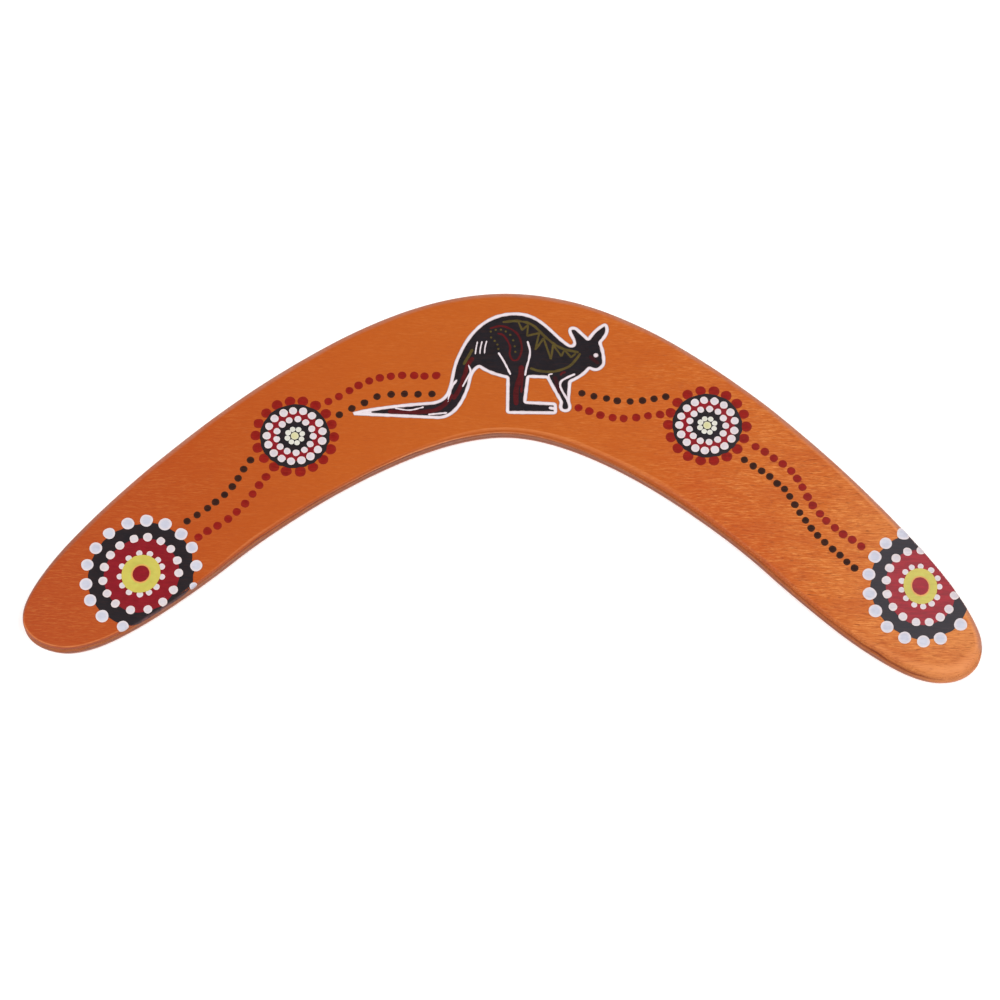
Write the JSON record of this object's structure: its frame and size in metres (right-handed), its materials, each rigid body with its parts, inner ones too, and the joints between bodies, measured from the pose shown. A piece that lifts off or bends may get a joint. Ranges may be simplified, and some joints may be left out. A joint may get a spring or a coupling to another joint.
{
  "type": "boomerang",
  "caption": "Flat wooden boomerang with two tapered arms, a rounded elbow and sanded edges, painted on one face with dot ornament and a kangaroo.",
  "frame": {"origin": "middle of the board's outer box, on the plane of the flat back face", "axes": "+X from tip to tip, towards the tip on the right with the painted face in view and the elbow up; +Y from the tips towards the elbow; +Z out of the painted front face"},
  "size_m": [0.325, 0.139, 0.0064],
  "materials": {
    "face_wood": "stained orange-brown and clear varnished, satin",
    "cross_wood": "stained end grain, satin",
    "core_wood": "stained edge grain, satin",
    "back_wood": "stained orange-brown and clear varnished, satin",
    "black_paint": "satin paint",
    "red_paint": "satin paint",
    "dark_red_paint": "satin paint",
    "white_paint": "satin paint, faintly lavender",
    "yellow_paint": "satin paint"
  },
  "bodies": {
    "root": {"face_ply": "face_wood", "upper_cross_ply": "cross_wood", "core_ply": "core_wood", "lower_cross_ply": "cross_wood", "back_ply": "back_wood", "left_tip_ground": "black_paint", "left_tip_rim_dots": "white_paint", "left_tip_red_disc": "red_paint", "left_tip_middle_dots": "white_paint", "left_tip_yellow_disc": "yellow_paint", "left_tip_inner_dots": "white_paint", "left_tip_centre": "red_paint", "right_tip_ground": "black_paint", "right_tip_rim_dots": "white_paint", "right_tip_red_disc": "red_paint", "right_tip_middle_dots": "white_paint", "right_tip_yellow_disc": "yellow_paint", "right_tip_inner_dots": "white_paint", "right_tip_centre": "red_paint", "left_arm_ground": "black_paint", "left_arm_border_dots": "dark_red_paint", "left_arm_outer_dots": "white_paint", "left_arm_red_band": "red_paint", "left_arm_inner_dots": "white_paint", "left_arm_flower": "white_paint", "right_arm_ground": "black_paint", "right_arm_border_dots": "dark_red_paint", "right_arm_outer_dots": "white_paint", "right_arm_red_band": "red_paint", "right_arm_inner_dots": "white_paint", "right_arm_flower": "white_paint", "left_lower_black_trail": "black_paint", "left_lower_red_trail": "dark_red_paint", "left_upper_black_trail": "black_paint", "left_upper_red_trail": "dark_red_paint", "right_upper_black_trail": "black_paint", "right_upper_red_trail": "dark_red_paint", "right_lower_black_trail": "black_paint", "right_lower_red_trail": "dark_red_paint", "kangaroo_body": "black_paint", "kangaroo_outline": "white_paint"}
  },
  "joints": []
}
